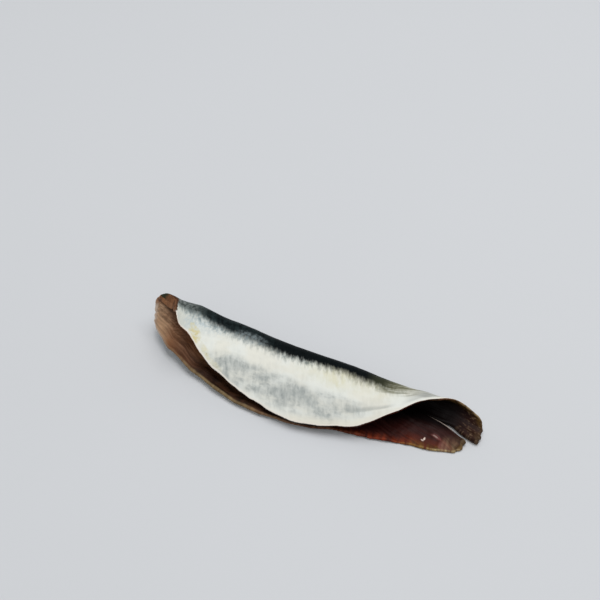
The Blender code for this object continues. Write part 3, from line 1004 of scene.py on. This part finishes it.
def flesh_material(look, shared):
    """Smoked flesh: tan by the head cut, painted shade in the fold, maroon and russet on the tail lobes."""
    net = Surface("smoked_flesh", shared)
    upper = net.rise(net.across, -0.2, 0.2)
    tilted = net.line(net.along, -0.06, net.edge)
    lane = net.mix_values(net.rise(net.along, 48, 66), tilted, net.across)
    fibres = net.fibres(0.5, 6, seed=7, Across=lane, Bend=0.35)
    coarse = net.fibres(1.8, 9, seed=7.5, Across=lane, Bend=0.35)
    nicks = net.streaks(0.7, 5, seed=10, lean=0.2)

    colour = net.tones(net.share, [
        (0, look.tan), (0.05, look.toasted), (0.09, look.chestnut), (0.14, look.umber), (0.22, look.brown),
        (0.6, look.brown), (0.7, look.maroon), (0.86, look.maroon), (0.95, look.russet), (1, look.tip)])
    dim = net.mix(net.rise(net.along, 60, 72), look.umber, look.russet)
    colour = net.tint(colour, dim, net.mottle(3.5, seed=9, stretch=1.8), 0.3)
    colour = head_flesh(net, look, colour, fibres, coarse)
    colour = tail_flesh(net, look, colour, coarse, upper, nicks)
    colour = net.shaded(colour, net.times(net.line(fibres, 0.6, 0.68), net.line(coarse, 0.2, 0.9)))
    colour = cut_edges(net, look, colour, upper, nicks)
    crumbs = net.crumbs()
    nape = net.times(net.fade(net.along, 1.5, 4), net.rise(net.across, -6, -2))
    cut_tone = net.tint(look.singed_and_shade, look.cut_flesh, net.line(crumbs, 0.8, 0.2))
    colour = net.tint(colour, cut_tone, nape, 0.9)

    height = net.line(net.streaks(1.1, 6, seed=8, lean=0.5), 0.4, fibres)
    height = net.line(nape, net.times(crumbs, 3), height)
    rough = net.line(fibres, FLESH_GRAIN, look.roughness - FLESH_GRAIN / 2)
    return net.to_shader(colour, rough, height, shine=0.1, relief=0.55, step=0.0002)


def floor_material(look):
    """Pale matt board with a faint unevenness."""
    material = bpy.data.materials.new("pale_floor")
    material.use_nodes = True
    net = Nodes(material.node_tree)
    shader = material.node_tree.nodes["Principled BSDF"]
    cloud = net.noise(net.add("ShaderNodeTexCoord").outputs["Object"], scale=6.0, detail=3.0)
    net.put(shader.inputs["Base Color"], net.shaded(look.floor, net.line(cloud, 0.03, 0.985)))
    shader.inputs["Roughness"].default_value = 0.7
    shader.inputs["Specular IOR Level"].default_value = 0.2
    return material


def add_object(name, data):
    item = bpy.data.objects.new(name, data)
    bpy.context.scene.collection.objects.link(item)
    return item


class FISH_OT_body(bpy.types.Operator):
    """Make the folded fish with its skin and flesh"""

    bl_idname = "smoked_fish.body"
    bl_label = "Make the fish"

    def execute(self, context):
        scene = context.scene
        bm = bmesh.new()
        flat_sheet(bm, scene.fish_form)
        cut_slit(bm)
        flesh, room = bend_sheet(bm, scene.fish_form)
        thicken(bm, flesh, room)
        bmesh.ops.recalc_face_normals(bm, faces=bm.faces)
        put_in_frame(bm)
        depth = bm.verts.layers.float["depth"]
        for face in bm.faces:
            face.material_index = int(sum(v[depth] for v in face.verts) / len(face.verts) > 0.3)
        mesh = bpy.data.meshes.new("folded_fish")
        bm.to_mesh(mesh)
        bm.free()
        mesh.shade_smooth()
        shared = effects()
        mesh.materials.append(skin_material(scene.skin_look, shared))
        mesh.materials.append(flesh_material(scene.flesh_look, shared))
        body = add_object("folded_fish", mesh)
        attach(body, "root")
        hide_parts("smoked_fish")
        return {"FINISHED"}


class FISH_OT_stage(bpy.types.Operator):
    """Make the floor, the soft light and the camera"""

    bl_idname = "smoked_fish.stage"
    bl_label = "Make the stage"

    def execute(self, context):
        look = context.scene.stage_look
        self.floor(look)
        self.light(context.scene, look)
        self.camera(context.scene, look)
        return {"FINISHED"}

    def floor(self, look):
        bm = bmesh.new()
        bmesh.ops.create_grid(bm, x_segments=8, y_segments=8, size=FLOOR_HALF)
        bmesh.ops.translate(bm, verts=bm.verts, vec=(0, 0, -FLOOR_GAP))
        mesh = bpy.data.meshes.new("floor")
        bm.to_mesh(mesh)
        bm.free()
        mesh.materials.append(floor_material(look))
        add_object("floor", mesh)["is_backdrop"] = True

    def light(self, scene, look):
        world = bpy.data.worlds.new("studio")
        world.use_nodes = True
        background = world.node_tree.nodes["Background"]
        background.inputs["Color"].default_value = SKY
        background.inputs["Strength"].default_value = look.fill
        scene.world = world
        lamp = bpy.data.lights.new("overhead", "AREA")
        lamp.shape = "RECTANGLE"
        lamp.size, lamp.size_y = LAMP_SIZE
        lamp.energy = look.lamp
        item = add_object("overhead", lamp)
        item.location = LAMP_PLACE
        item.rotation_euler = (-item.location).to_track_quat("-Z", "Y").to_euler()

    def camera(self, scene, look):
        data = bpy.data.cameras.new("camera")
        data.angle = look.field
        data.clip_start = 0.01
        data.clip_end = 10
        camera = add_object("camera", data)
        camera.location = look.place
        camera.rotation_euler = (math.pi / 2 - look.elevation, 0, look.azimuth)
        scene.camera = camera
        scene.view_settings.view_transform = "Standard"


class FISH_PT_sidebar(bpy.types.Panel):
    """Buttons for the fish and its stage"""

    bl_idname = "FISH_PT_sidebar"
    bl_label = "Smoked fish"
    bl_space_type = "VIEW_3D"
    bl_region_type = "UI"
    bl_category = "Smoked fish"

    def draw(self, context):
        buttons = {"fish_form": FISH_OT_body, "stage_look": FISH_OT_stage}
        for look in SETTINGS:
            box = self.layout.box()
            if look in buttons:
                box.operator(buttons[look].bl_idname)
            settings = getattr(context.scene, look)
            for name in settings.__annotations__:
                box.prop(settings, name)


CLASSES = (FishForm, SkinLook, FleshLook, StageLook, FISH_OT_body, FISH_OT_stage, FISH_PT_sidebar)
SETTINGS = {"fish_form": FishForm, "skin_look": SkinLook, "flesh_look": FleshLook, "stage_look": StageLook}


def register():
    for item in CLASSES:
        bpy.utils.register_class(item)
    for name, kind in SETTINGS.items():
        setattr(bpy.types.Scene, name, PointerProperty(type=kind))


def unregister():
    for name in SETTINGS:
        delattr(bpy.types.Scene, name)
    for item in reversed(CLASSES):
        bpy.utils.unregister_class(item)


def main():
    register()
    bpy.ops.smoked_fish.body()
    bpy.ops.smoked_fish.stage()


if __name__ == "__main__":
    main()
